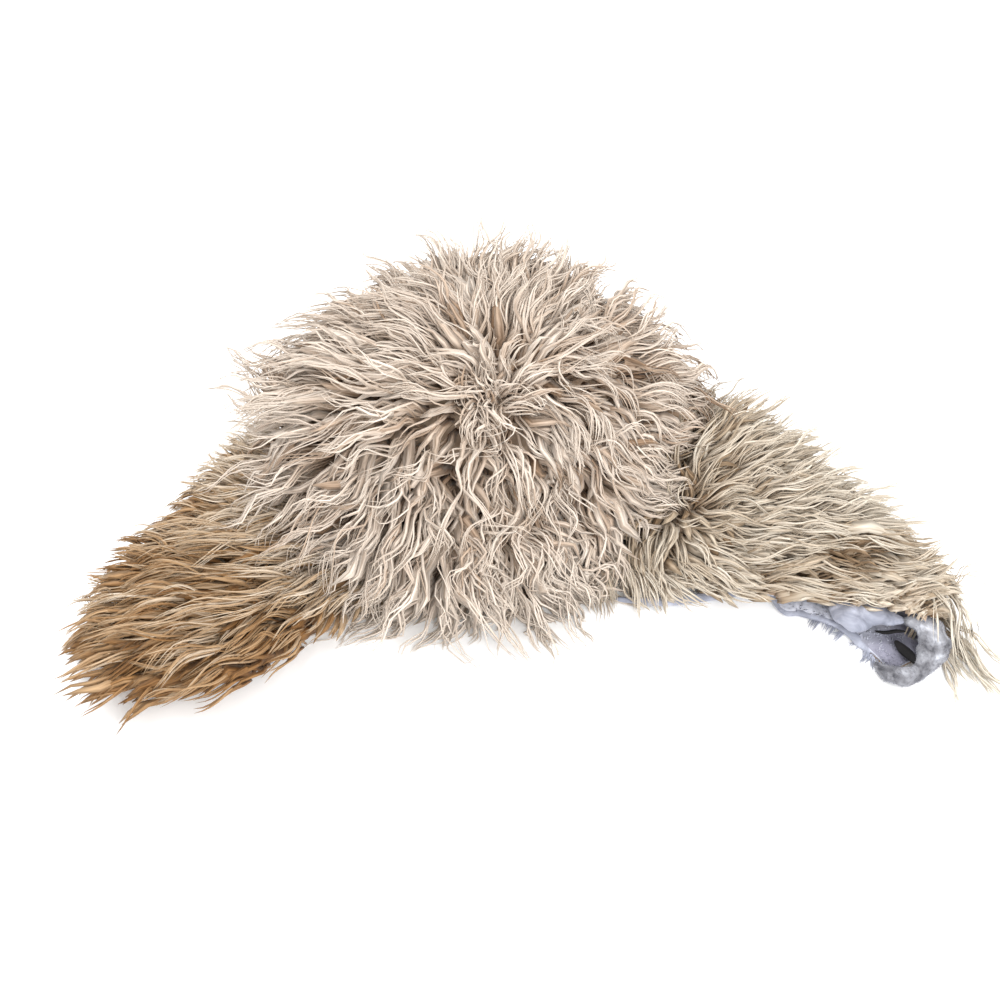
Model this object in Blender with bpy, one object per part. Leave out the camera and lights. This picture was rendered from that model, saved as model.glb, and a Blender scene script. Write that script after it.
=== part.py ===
# Shaggy faux-fur hat with two ear flaps, lying open side down with its flaps spread.
# +X points to the rolled flap, +Y to the back of the crown and +Z up. Metres.
import math

import bmesh
import bpy
import numpy as np
from mathutils import Vector
from mathutils.bvhtree import BVHTree

MM = 0.001

# Crown, measured over the outer face of the fur's backing cloth
CROWN_WIDTH = 224 * MM
CROWN_DEPTH = 192 * MM
CROWN_HEIGHT = 118 * MM
CROWN_SQUARENESS = 2.5  # exponent of the dome's profile: 2 is an ellipse
CROWN_SLUMP = (4 * MM, 6 * MM)  # how far the top lies off the rim's centre, in x and y
CROWN_CENTRE = (-31 * MM, 30 * MM)  # puts the middle of the whole hat at x = y = 0
CROWN_CELLS = 10  # cells along each side of the dome's top patch; one lock grows from each
RIM_TOLERANCE = 0.001  # how near to the rim a point of the dome counts as on it

# Layers, counted inwards from the outer face of the backing
BACKING = 1.6 * MM
LAYER_GAP = 0.5 * MM
LINING = 2.0 * MM
LINING_OUTSIDE = BACKING + LAYER_GAP
LAYERS = LINING_OUTSIDE + LINING
SEAM_GAP = 1.1 * MM  # between the round of the crown and the root of a flap
FUR_RIM = 1.0 * MM  # height of the fur's edge over the table, which the lining's edge rests on

# Locks of fur
CROWN_LOCK = 48 * MM
FLAP_LOCK = 42 * MM
LOCK_RINGS = ((0.40, 0.72), (0.75, 0.40))  # share of the length, share of the root's width
LOCK_LEAN = (26, 62)  # degrees from the surface's normal, at the root and at the tip
LEAN_HEIGHT = 60 * MM  # below this a lock on a side wall leans less, down to level
LOCK_CUTS = (1.0, 0.8, 0.6, 0.45, 0.3)  # shares of its length that a crowded lock may have
LOCK_CLEARANCE = 1.8 * MM  # from a lock to the table and to the pieces beside it
LOCK_WIDTHS_ROUND = 7  # half-widths of a lock that fit round the cell it grows from
LOCK_STEPS = (0.4, 0.7, 1.0)  # where the clearance is tested between two rings
LOWEST_FACING = -0.2  # height of a cell's normal, under which it faces down and stays bare

# Where the fur of each piece parts, from the crown's centre: it is combed away from there,
# and down by COMB_DROP for each unit outwards
COMB_DROP = 0.6
WHORL = (6 * MM, -14 * MM)
LEFT_PARTING = (-40 * MM, -60 * MM)
RIGHT_PARTING = (84 * MM, -30 * MM)

# Soft dents of the slumped crown: direction in degrees, place between top and rim,
# depth as a share of the radius, half-width in degrees, half-height as a share
DENT_COLUMNS = ("angle", "drop", "depth", "wide", "high")
DENTS = (
    (20, 0.50, 0.07, 22, 0.22),
    (150, 0.62, 0.04, 30, 0.25),
    (265, 0.45, 0.05, 26, 0.20),
)

# Sections across a flap, from the crown to the tip. x and y give the back shoulder from the
# crown's centre, and toward is the compass direction in degrees to the front edge. top_z is
# the shoulder's height, reach the distance to the front edge and edge_z that edge's height.
# The back folds down by fold degrees round a radius of roll, and goes on for under.
SECTION_COLUMNS = ("x", "y", "toward", "top_z", "reach", "edge_z", "roll", "fold", "under")
LEFT_SECTIONS = (
    (-123, -10, 297, 37, 98, 6, 22, 82, 16),
    (-143, -34, 305, 33, 99, 4, 18, 84, 16),
    (-161, -60, 312, 30, 97, 4, 16, 84, 14),
    (-179, -86, 316, 28, 91, 4, 15, 84, 13),
    (-195, -111, 318, 26, 79, 4, 14, 80, 11),
    (-205, -130, 319, 21, 62, 4, 12, 70, 8),
    (-210, -146, 320, 13, 42, 4, 9, 50, 6),
)
RIGHT_SECTIONS = (
    (124, 2, 267, 37, 94, 6, 18, 84, 16),
    (148, -7, 265, 34, 93, 8, 15, 90, 18),
    (172, -19, 262, 33, 87, 11, 16.4, 138, 32),
    (196, -36, 257, 33, 77, 12, 16.8, 176, 84),
    (219, -58, 249, 32, 58, 13, 16.3, 178, 72),
    (239, -85, 239, 31, 39, 15, 15.8, 179, 53),
    (256, -113, 226, 29, 25, 18, 14.8, 179, 45),
    (272, -144, 210, 26, 16, 21, 13.3, 179, 38),
)
# Cells along a flap, and across its front, its fold and the part that lies under
LEFT_CELLS = (8, 6, 2, 1)
RIGHT_CELLS = (10, 5, 4, 2)
# Where each flap is sewn to the crown's rim: compass directions of its front and back ends,
# and how high the rim is lifted between them
ROOT_COLUMNS = ("front", "back", "lift")
LEFT_ROOT = (243, 172, 34)
RIGHT_ROOT = (-64, 14, 34)
ROOT_BLEND = 0.20  # share of a flap's length over which it leaves the rim

CROWN_COLOUR = (0.62, 0.52, 0.42, 1)
LEFT_COLOUR = (0.52, 0.37, 0.22, 1)
RIGHT_COLOUR = (0.60, 0.53, 0.42, 1)
LINING_COLOUR = (0.34, 0.35, 0.42, 1)
FUR_ROUGHNESS = 0.55
LINING_ROUGHNESS = 0.95


def smooth(x):
    x = np.clip(x, 0, 1)
    return x * x * (3 - 2 * x)


def named(columns, row):
    return dict(zip(columns, row))


def turn_to(angle, direction):
    """The signed turn in degrees from direction to angle, within half a turn."""
    return (angle - direction + 180) % 360 - 180


def root_of(flap_root):
    root = named(ROOT_COLUMNS, flap_root)
    root["turn"] = turn_to(root["back"], root["front"])
    return root


def rim_height(angle):
    """The crown's lower edge lies on the table, and is lifted over the root of each flap."""
    height = 0.0
    for flap_root in (LEFT_ROOT, RIGHT_ROOT):
        root = root_of(flap_root)
        share = turn_to(angle, root["front"]) / root["turn"]
        height += root["lift"] * MM * max(0.0, 4 * share * (1 - share))
    return height


def crown_radius(angle, drop):
    """Share of the full radius: the profile's own, less the dents."""
    share = math.sin(drop * math.pi / 2) ** (2 / CROWN_SQUARENESS)
    for row in DENTS:
        dent = named(DENT_COLUMNS, row)
        across = turn_to(angle, dent["angle"]) / dent["wide"]
        along = (drop - dent["drop"]) / dent["high"]
        share *= 1 - dent["depth"] * math.exp(-(across**2) - along**2)
    return share


def crown_skin(angle, drop):
    """A point on the backing, from its compass direction in degrees and its share of the
    way from the top to the rim."""
    radius = crown_radius(angle, drop)
    rise = max(0.0, math.cos(drop * math.pi / 2)) ** (2 / CROWN_SQUARENESS)
    rim = rim_height(angle)
    x = CROWN_WIDTH / 2 * radius * math.cos(math.radians(angle))
    y = CROWN_DEPTH / 2 * radius * math.sin(math.radians(angle))
    return Vector(
        (
            CROWN_CENTRE[0] + x + CROWN_SLUMP[0] * rise,
            CROWN_CENTRE[1] + y + CROWN_SLUMP[1] * rise,
            rim + (CROWN_HEIGHT - rim) * rise,
        )
    )


def between_rows(table, share):
    """The table's values at a share of the way down it, on a curve through its rows."""
    rows = np.array(table, float)
    place = np.clip(share, 0, 1) * (len(rows) - 1)
    low = min(int(place), len(rows) - 2)
    t = place - low
    before, after = rows[max(low - 1, 0)], rows[min(low + 2, len(rows) - 1)]
    start, end = rows[low], rows[low + 1]
    return 0.5 * (
        2 * start
        + (end - before) * t
        + (2 * before - 5 * start + 4 * end - after) * t**2
        + (3 * start - before - 3 * end + after) * t**3
    )


def section_line(section, front_cells, fold_cells, under_cells):
    """Points across the flap from its front edge over the shoulder to its folded end, as
    distance towards the front and height over the table."""
    front = np.linspace(section["reach"], 0, front_cells + 1)
    sag = section["top_z"] - section["edge_z"]
    top = np.stack([front, section["top_z"] - sag * (front / section["reach"]) ** 2], 1)
    turn = np.radians(section["fold"]) * np.linspace(0, 1, fold_cells + 1)[1:]
    roll = section["roll"]
    fold = np.stack([-roll * np.sin(turn), section["top_z"] - roll * (1 - np.cos(turn))], 1)
    away = np.array([-math.cos(turn[-1]), -math.sin(turn[-1])])
    steps = section["under"] * np.linspace(0, 1, under_cells + 1)[1:]
    return np.concatenate([top, fold, fold[-1] + away * steps[:, None]])


def root_point(flap_root, share):
    """A point on the seam between crown and flap, just clear of the crown's backing."""
    root = root_of(flap_root)
    angle = math.radians(root["front"] + root["turn"] * share)
    height = LAYERS + SEAM_GAP + root["lift"] * MM * 4 * share * (1 - share)
    return np.array(
        [
            CROWN_CENTRE[0] + (CROWN_WIDTH / 2 + SEAM_GAP) * math.cos(angle),
            CROWN_CENTRE[1] + (CROWN_DEPTH / 2 + SEAM_GAP) * math.sin(angle),
            height,
        ]
    )


def flap_skin(table, flap_root, cells, lowest):
    """A grid of points on a flap's backing: rows from the crown to the tip, and columns from
    the front edge to the folded end. What would pass through the table is pressed flat."""
    along, *splits = cells
    across = sum(splits)
    grid = np.zeros((along + 1, across + 1, 3))
    for i in range(along + 1):
        share = i / along
        section = named(SECTION_COLUMNS, between_rows(table, share))
        line = section_line(section, *splits) * MM
        toward = math.radians(section["toward"])
        front = np.array([math.cos(toward), math.sin(toward)])
        shoulder = np.array([section["x"], section["y"]]) * MM + CROWN_CENTRE
        free = np.column_stack([shoulder + front * line[:, :1], line[:, 1]])
        weight = smooth(share / ROOT_BLEND)
        rooted = np.array([root_point(flap_root, j / across) for j in range(across + 1)])
        grid[i] = (1 - weight) * rooted + weight * free
    grid[:, :, 2] = np.maximum(grid[:, :, 2], lowest)
    return grid


def mesh_of(grid):
    """A sheet of quads over a grid of points, facing up."""
    mesh = bmesh.new()
    rows, columns = grid.shape[:2]
    verts = [[mesh.verts.new(grid[i, j]) for j in range(columns)] for i in range(rows)]
    for i in range(rows - 1):
        for j in range(columns - 1):
            mesh.faces.new(
                (verts[i][j], verts[i][j + 1], verts[i + 1][j + 1], verts[i + 1][j])
            )
    mesh.normal_update()
    mesh.faces.ensure_lookup_table()
    if mesh.faces[0].normal.z < 0:
        bmesh.ops.reverse_faces(mesh, faces=mesh.faces)
    for vert in verts[0]:
        vert.tag = True
    return mesh


def dome_mesh():
    """The crown's skin: the upper half of a cube, each side a grid, blown out to the dome,
    so that the cells are about as wide everywhere."""
    mesh = bmesh.new()
    bmesh.ops.create_cube(mesh, size=2)
    bmesh.ops.subdivide_edges(
        mesh, edges=mesh.edges[:], cuts=CROWN_CELLS - 1, use_grid_fill=True
    )
    lower = [v for v in mesh.verts if v.co.z < -RIM_TOLERANCE]
    bmesh.ops.delete(mesh, geom=lower, context="VERTS")
    for vert in mesh.verts:
        even = Vector([math.tan(c * math.pi / 4) for c in vert.co]).normalized()
        angle = math.degrees(math.atan2(even.y, even.x))
        drop = math.acos(min(1.0, even.z)) / (math.pi / 2)
        vert.tag = drop > 1 - RIM_TOLERANCE
        vert.co = crown_skin(angle, drop)
    return mesh


def upward(place):
    return Vector((0, 0, 1))


def away_from_crown(place):
    return Vector((place.x - CROWN_CENTRE[0], place.y - CROWN_CENTRE[1], 0)).normalized()


def outward_directions(mesh, edge_facing):
    """The direction from each vertex out of the cloth. Tagged ones lie on a cut edge, and
    their direction lies in that edge's own plane."""
    mesh.normal_update()
    found = {}
    for vert in mesh.verts:
        normal = vert.normal.copy()
        if vert.tag:
            facing = edge_facing(vert.co)
            normal -= facing * normal.dot(facing)
        found[vert] = normal.normalized()
    return found


def wall(mesh, outer, inner, edge_facing):
    """Turns a sheet into a closed wall between two depths under it, and returns its upper
    faces."""
    out = outward_directions(mesh, edge_facing)
    upper_faces = mesh.faces[:]
    rim = [e for e in mesh.edges if e.is_boundary]
    lower = {}
    for vert in mesh.verts[:]:
        copy = mesh.verts.new(vert.co - out[vert] * inner)
        vert.co = vert.co - out[vert] * outer
        lower[vert] = copy
    for face in upper_faces:
        first, *others = face.verts
        mesh.faces.new([lower[first]] + [lower[v] for v in reversed(others)])
    for edge in rim:
        loop = edge.link_loops[0]
        first, second = loop.vert, loop.link_loop_next.vert
        mesh.faces.new((second, first, lower[first], lower[second]))
    mesh.normal_update()
    return upper_faces


def lock_path(root, normal, flow, length, rise):
    """Places along a lock: it leans over from the surface's normal towards the way that the
    fur is combed, and is held off the table."""
    shares = [share for share, _ in LOCK_RINGS] + [1.0]
    widths = [width for _, width in LOCK_RINGS] + [0.0]
    upright = max(normal.z, smooth(root.z / LEAN_HEIGHT))
    path, at, last = [], root.copy(), 0.0
    for share, width in zip(shares, widths):
        lean = math.radians(LOCK_LEAN[0] + (LOCK_LEAN[1] - LOCK_LEAN[0]) * share) * upright
        step = normal * math.cos(lean) + flow * math.sin(lean)
        at = at + step * length * (share - last)
        at.z = max(at.z, rise * width + LOCK_CLEARANCE)
        path.append((at.copy(), width))
        last = share
    return path


def is_clear(root, path, half_width, neighbours):
    """Whether a lock leaves room to the neighbouring pieces all along."""
    last, last_width = root, 1.0
    for place, width in path:
        for share in LOCK_STEPS:
            at = last.lerp(place, share)
            room = half_width * (last_width + (width - last_width) * share) + LOCK_CLEARANCE
            if any(tree.find_nearest(at)[3] < room for tree in neighbours):
                return False
        last, last_width = place, width
    return True


def grow_lock(mesh, face, path, corners):
    """Draws a face out into a lock that narrows to a point and stays joined to the cloth."""
    for place, width in path[:-1]:
        face = bmesh.ops.extrude_discrete_faces(mesh, faces=[face])["faces"][0]
        for vert, corner in zip(face.verts, corners):
            vert.co = place + corner * width
    tip = mesh.verts.new(path[-1][0])
    for loop in face.loops:
        mesh.faces.new((loop.vert, loop.link_loop_next.vert, tip))
    bmesh.ops.delete(mesh, geom=[face], context="FACES_ONLY")


def combed(centre, normal, parting):
    """The direction in the surface that leads away from the parting, and down."""
    away = Vector((centre.x - CROWN_CENTRE[0], centre.y - CROWN_CENTRE[1], 0))
    away -= Vector((parting[0], parting[1], 0))
    flow = away.normalized() - Vector((0, 0, COMB_DROP))
    return (flow - normal * flow.dot(normal)).normalized()


def grow_locks(mesh, faces, parting, longest, neighbours):
    """A lock on each face, as long as leaves it clear of the neighbouring pieces."""
    for face in faces:
        centre, normal = face.calc_center_median(), face.normal.copy()
        flow = combed(centre, normal, parting)
        corners = [v.co - centre for v in face.verts]
        rise = max(abs(corner.z) for corner in corners)
        half_width = face.calc_perimeter() / LOCK_WIDTHS_ROUND
        for cut in LOCK_CUTS:
            path = lock_path(centre, normal, flow, longest * cut, rise)
            if is_clear(centre, path, half_width, neighbours):
                grow_lock(mesh, face, path, corners)
                break


def material_of(name, colour, roughness):
    material = bpy.data.materials.new(name)
    material.use_nodes = True
    shader = material.node_tree.nodes["Principled BSDF"]
    shader.inputs["Base Color"].default_value = colour
    shader.inputs["Roughness"].default_value = roughness
    shader.inputs["Metallic"].default_value = 0
    material.diffuse_color = colour
    return material


def finish(name, mesh, material):
    """Splits the quads the same way in each layer, so that the gap between layers is even."""
    bmesh.ops.triangulate(mesh, faces=mesh.faces[:], quad_method="FIXED")
    data = bpy.data.meshes.new(name)
    mesh.to_mesh(data)
    mesh.free()
    data.materials.append(material)
    bpy.context.scene.collection.objects.link(bpy.data.objects.new(name, data))


def tree_of(mesh, outer, edge_facing):
    """A piece's bare cloth, to keep the locks of its neighbours clear of it."""
    wall(mesh, outer, LAYERS, edge_facing)
    tree = BVHTree.FromBMesh(mesh)
    mesh.free()
    return tree


def make_crown(neighbours):
    fur = dome_mesh()
    for vert in fur.verts:
        vert.co.z = max(vert.co.z, FUR_RIM)
    skin = wall(fur, 0, BACKING, upward)
    grow_locks(fur, skin, WHORL, CROWN_LOCK, neighbours)
    finish("crown_fur", fur, material_of("crown faux fur", CROWN_COLOUR, FUR_ROUGHNESS))
    lining = dome_mesh()
    wall(lining, LINING_OUTSIDE, LAYERS, upward)
    finish("crown_lining", lining, material_of("crown plush", LINING_COLOUR, LINING_ROUGHNESS))


def make_flap(side, grid, cells, parting, colour, crown_tree):
    """Locks grow on the cells of the front and the fold, unless they face down."""
    fur = mesh_of(grid)
    skin = wall(fur, 0, BACKING, away_from_crown)
    across, under_cells = sum(cells[1:]), cells[-1]
    growing = [
        face for place, face in enumerate(skin)
        if place % across < across - under_cells and face.normal.z > LOWEST_FACING
    ]
    grow_locks(fur, growing, parting, FLAP_LOCK, [crown_tree])
    tree = BVHTree.FromBMesh(fur)
    finish(side + "_flap_fur", fur, material_of(side + " flap faux fur", colour, FUR_ROUGHNESS))
    lining = mesh_of(grid)
    wall(lining, LINING_OUTSIDE, LAYERS, away_from_crown)
    plush = material_of(side + " flap plush", LINING_COLOUR, LINING_ROUGHNESS)
    finish(side + "_flap_lining", lining, plush)
    return tree


for old in list(bpy.data.objects):
    bpy.data.objects.remove(old)
left_grid = flap_skin(LEFT_SECTIONS, LEFT_ROOT, LEFT_CELLS, LAYERS)
right_grid = flap_skin(RIGHT_SECTIONS, RIGHT_ROOT, RIGHT_CELLS, 0.0)
crown_cloth = tree_of(dome_mesh(), 0, upward)
left_tree = make_flap("left", left_grid, LEFT_CELLS, LEFT_PARTING, LEFT_COLOUR, crown_cloth)
right_tree = make_flap("right", right_grid, RIGHT_CELLS, RIGHT_PARTING, RIGHT_COLOUR, crown_cloth)
make_crown([left_tree, right_tree])
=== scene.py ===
import bmesh
import bpy
import numpy as np
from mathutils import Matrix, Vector


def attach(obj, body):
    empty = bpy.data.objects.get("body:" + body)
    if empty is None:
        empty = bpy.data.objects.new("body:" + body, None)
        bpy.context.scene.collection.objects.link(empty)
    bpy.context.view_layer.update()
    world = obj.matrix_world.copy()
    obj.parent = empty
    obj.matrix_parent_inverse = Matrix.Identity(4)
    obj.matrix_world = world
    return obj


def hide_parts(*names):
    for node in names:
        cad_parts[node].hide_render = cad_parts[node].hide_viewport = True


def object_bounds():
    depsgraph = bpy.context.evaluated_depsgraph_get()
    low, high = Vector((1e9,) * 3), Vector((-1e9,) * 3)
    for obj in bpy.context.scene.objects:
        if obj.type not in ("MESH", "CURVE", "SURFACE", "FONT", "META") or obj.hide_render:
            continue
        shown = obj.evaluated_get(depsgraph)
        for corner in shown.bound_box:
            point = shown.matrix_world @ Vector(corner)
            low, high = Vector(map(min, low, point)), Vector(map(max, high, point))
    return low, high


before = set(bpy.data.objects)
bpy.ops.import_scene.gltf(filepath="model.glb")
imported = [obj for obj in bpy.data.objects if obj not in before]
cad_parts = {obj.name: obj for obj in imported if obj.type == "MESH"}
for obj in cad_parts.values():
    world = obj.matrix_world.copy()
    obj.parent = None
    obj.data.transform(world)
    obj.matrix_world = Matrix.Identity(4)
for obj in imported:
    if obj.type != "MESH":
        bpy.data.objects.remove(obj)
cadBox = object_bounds()
mm = 0.001
print("frame loaded with", len(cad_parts), "nodes")

# the photograph looks down on the front of the hat
camera = {"target": (-17, -22, 30), "elevation": 50, "distance": 850, "lens": 50}


def makeCamera():
    data = bpy.data.cameras.new("camera")
    data.lens = camera["lens"]
    lens = bpy.data.objects.new("camera", data)
    tilt = np.radians(camera["elevation"])
    back = Vector((0, -np.cos(tilt), np.sin(tilt)))
    lens.location = Vector(camera["target"]) * mm + back * camera["distance"] * mm
    lens.rotation_mode = "QUATERNION"
    lens.rotation_quaternion = (-back).to_track_quat("-Z", "Y")
    bpy.context.scene.collection.objects.link(lens)
    bpy.context.scene.camera = lens


makeCamera()

# the hat's own surfaces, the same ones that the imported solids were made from. Layers are depths
# under the skin that the backing's outside lies on
layers = {"backing": 1.6, "liningOutside": 2.1, "liningInside": 4.1, "seamGap": 1.1}

crown = {
    "width": 224, "depth": 192, "height": 118,  # over the backing cloth
    "centre": (-31, 30),
    "slump": (4, 6),  # how far the top lies off the rim's centre
    "squareness": 2.5,
    "dentAngle": (20, 150, 265), "dentDrop": (0.50, 0.62, 0.45),
    "dentDepth": (0.07, 0.04, 0.05), "dentWide": (22, 30, 26), "dentHigh": (0.22, 0.25, 0.20),
}

# sections from the crown to the tip: x and y of the back shoulder from the crown's centre, toward
# the direction from there to the front edge, topZ and edgeZ the heights of both, reach the way
# between them, roll and fold the radius and turn of the fold at the back, under what lies below it
leftFlap = {
    "x": (-123, -143, -161, -179, -195, -205, -210),
    "y": (-10, -34, -60, -86, -111, -130, -146),
    "toward": (297, 305, 312, 316, 318, 319, 320),
    "topZ": (37, 33, 30, 28, 26, 21, 13),
    "reach": (98, 99, 97, 91, 79, 62, 42),
    "edgeZ": (6, 4, 4, 4, 4, 4, 4),
    "roll": (22, 18, 16, 15, 14, 12, 9),
    "fold": (82, 84, 84, 84, 80, 70, 50),
    "under": (16, 16, 14, 13, 11, 8, 6),
    "parts": (6, 2, 1),  # shares of the width: front, fold and what lies under
    "rootFront": 243, "rootBack": 172,  # where on the rim it is sewn, in degrees
    "lift": 34, "lowest": 4.1,
}
rightFlap = {
    "x": (124, 148, 172, 196, 219, 239, 256, 272),
    "y": (2, -7, -19, -36, -58, -85, -113, -144),
    "toward": (267, 265, 262, 257, 249, 239, 226, 210),
    "topZ": (37, 34, 33, 33, 32, 31, 29, 26),
    "reach": (94, 93, 87, 77, 58, 39, 25, 16),
    "edgeZ": (6, 8, 11, 12, 13, 15, 18, 21),
    "roll": (18, 15, 16.4, 16.8, 16.3, 15.8, 14.8, 13.3),
    "fold": (84, 90, 138, 176, 178, 179, 179, 179),
    "under": (16, 18, 32, 84, 72, 53, 45, 38),
    "parts": (5, 4, 2),
    "rootFront": -64, "rootBack": 14, "lift": 34, "lowest": 0.0,
}
rootBlend = 0.20  # share of a flap's length over which it leaves the rim


def smooth(x):  # from 0 to 1 along 3x squared less 2x cubed, level at both ends
    x = np.clip(x, 0, 1)
    return x * x * (3 - 2 * x)


def unit(v):  # each vector over its own length
    return v / np.maximum(np.linalg.norm(v, axis=-1, keepdims=True), 1e-12)


def dot(a, b):  # sum of the products, kept as a column
    return np.sum(a * b, axis=-1, keepdims=True)


def turnTo(angle, direction):  # signed turn in degrees from direction to angle
    return (angle - direction + 180) % 360 - 180


def ripple(points, size, seed):
    # soft noise about 0, mostly within 1: twice the mean of nine sine waves of about one
    # length, each along its own direction and with its own phase
    rng = np.random.default_rng(seed)
    ways = unit(rng.normal(size=(9, 3))) * rng.uniform(0.7, 1.5, (9, 1)) * 2 * np.pi / size
    return np.sin(points @ ways.T + rng.uniform(0, 2 * np.pi, 9)).mean(axis=-1) * 2


def rimHeight(angle):
    # the rim lies on the table, and is lifted by lift * 4s(1 - s) over the root of each flap
    height = 0 * angle
    for flap in (leftFlap, rightFlap):
        s = turnTo(angle, flap["rootFront"]) / turnTo(flap["rootBack"], flap["rootFront"])
        height = height + flap["lift"] * np.maximum(0, 4 * s * (1 - s))
    return height


def crownSkin(angle, drop):
    # a squared dome: radius is sin(drop) to the power 2/n, less its dents, and height is
    # cos(drop) to the same power, from the rim up to the crown's height
    n = 2 / crown["squareness"]
    radius = np.sin(drop * np.pi / 2) ** n
    for i in range(len(crown["dentAngle"])):
        across = turnTo(angle, crown["dentAngle"][i]) / crown["dentWide"][i]
        down = (drop - crown["dentDrop"][i]) / crown["dentHigh"][i]
        radius = radius * (1 - crown["dentDepth"][i] * np.exp(-across**2 - down**2))
    rise = np.maximum(0, np.cos(drop * np.pi / 2)) ** n
    turn, rim = np.radians(angle), rimHeight(angle)
    x = crown["centre"][0] + crown["width"] / 2 * radius * np.cos(turn) + crown["slump"][0] * rise
    y = crown["centre"][1] + crown["depth"] / 2 * radius * np.sin(turn) + crown["slump"][1] * rise
    return np.stack([x, y, rim + (crown["height"] - rim) * rise], -1)


def betweenRows(values, share):
    # a Catmull-Rom curve through evenly spaced values
    rows = np.array(values, float)
    place = np.clip(share, 0, 1) * (len(rows) - 1)
    low = np.minimum(place.astype(int), len(rows) - 2)
    t = place - low
    before, after = rows[np.maximum(low - 1, 0)], rows[np.minimum(low + 2, len(rows) - 1)]
    start, end = rows[low], rows[low + 1]
    return 0.5 * (
        2 * start + (end - before) * t
        + (2 * before - 5 * start + 4 * end - after) * t**2
        + (3 * start - before - 3 * end + after) * t**3
    )


def flapSkin(flap, along, across):
    # along runs from the crown to the tip, and across from the front edge up a parabola to
    # the shoulder, round the fold's arc and straight on under it. Near the crown the section
    # melts into the arc of the rim that the flap is sewn to
    now = {k: betweenRows(flap[k], along) for k in
           ("x", "y", "toward", "topZ", "reach", "edgeZ", "roll", "fold", "under")}
    front, fold, under = flap["parts"]
    step = across * (front + fold + under)
    ahead = now["reach"] * np.clip(1 - step / front, 0, 1)
    turn = np.radians(now["fold"]) * np.clip((step - front) / fold, 0, 1)
    past = now["under"] * np.clip((step - front - fold) / under, 0, 1)
    out = ahead - now["roll"] * np.sin(turn) - past * np.cos(turn)
    sag = (now["topZ"] - now["edgeZ"]) * (ahead / now["reach"]) ** 2
    up = now["topZ"] - sag - now["roll"] * (1 - np.cos(turn)) - past * np.sin(turn)
    way = np.radians(now["toward"])
    cx, cy = crown["centre"]
    free = np.stack([cx + now["x"] + out * np.cos(way), cy + now["y"] + out * np.sin(way), up], -1)
    angle = flap["rootFront"] + turnTo(flap["rootBack"], flap["rootFront"]) * across
    gap = layers["seamGap"]
    rooted = np.stack([
        cx + (crown["width"] / 2 + gap) * np.cos(np.radians(angle)),
        cy + (crown["depth"] / 2 + gap) * np.sin(np.radians(angle)),
        layers["liningInside"] + gap + flap["lift"] * 4 * across * (1 - across),
    ], -1)
    weight = smooth(along / rootBlend)[..., None]
    point = (1 - weight) * rooted + weight * free
    point[..., 2] = np.maximum(point[..., 2], flap["lowest"])
    return point


def trimmed(u, v):
    # the rolled flap's cloth: the top layer's front draws back at the tip, the fold ends
    # inside the turned-out end, and the lower layer is cut a little narrower
    start = 0.22 * smooth((u - 0.75) / 0.25)
    back = np.interp(v, (0, 0.25, 0.45, 0.62, 0.78, 1), (0.06, 0.08, 0.12, 0.10, 0.02, 0.03))
    return u - back * smooth((u - 0.6) / 0.4), start + (0.98 - start) * v


def surfaceOf(skin, rows, columns, rounded=False):
    # a grid of points and their outward normals, crossed from the steps to the next points.
    # On a rounded one the first and last columns meet, and the first row is the pole
    u, v = np.meshgrid(np.linspace(0, 1, rows), np.linspace(0, 1, columns), indexing="ij")
    points = skin(u, v)
    normals = unit(np.cross(np.gradient(points, axis=0), np.gradient(points, axis=1)))
    if normals[rows // 3, columns // 4, 2] < 0:
        normals = -normals
    if rounded:
        normals[:, 0] = normals[:, -1] = unit(normals[:, 0] + normals[:, -1])
        normals[0] = unit(normals[1].mean(axis=0))
    return {"points": points, "normals": normals, "u": u, "v": v}


crownSurface = surfaceOf(lambda u, v: crownSkin(v * 360, u), 91, 241, rounded=True)
leftSurface = surfaceOf(lambda u, v: flapSkin(leftFlap, u, v), 111, 121)
rightSurface = surfaceOf(lambda u, v: flapSkin(rightFlap, *trimmed(u, v)), 131, 151)
print("surfaces worked out")


def linear(hexColour, alpha=1.0):  # sRGB hex to linear colour
    s = np.array([int(hexColour[i:i + 2], 16) for i in (1, 3, 5)]) / 255
    c = np.where(s <= 0.04045, s / 12.92, ((s + 0.055) / 1.055) ** 2.4)
    return (*c, alpha)


def addNode(material, kind, settings=None, links=None):
    # adds one node: settings go to its properties or its sockets, links give the source of
    # each of its sockets as (node, output)
    node = material.node_tree.nodes.new(kind)
    for name, value in (settings or {}).items():
        if isinstance(name, int) or name in node.inputs:
            node.inputs[name].default_value = value
        else:
            setattr(node, name, value)
    for name, (source, output) in (links or {}).items():
        material.node_tree.links.new(source.outputs[output], node.inputs[name])
    return node


def setRamp(ramp, stops):  # stops are (place, hex colour) from dark to light or root to tip
    for i, (place, colour) in enumerate(stops):
        stop = ramp.color_ramp.elements[i] if i < 2 else ramp.color_ramp.elements.new(place)
        stop.position = place
        stop.color = linear(colour)


def newMaterial(name, colour):
    material = bpy.data.materials.new(name)
    material.use_nodes = True
    material.node_tree.nodes.clear()
    material.diffuse_color = linear(colour)
    return material


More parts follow.
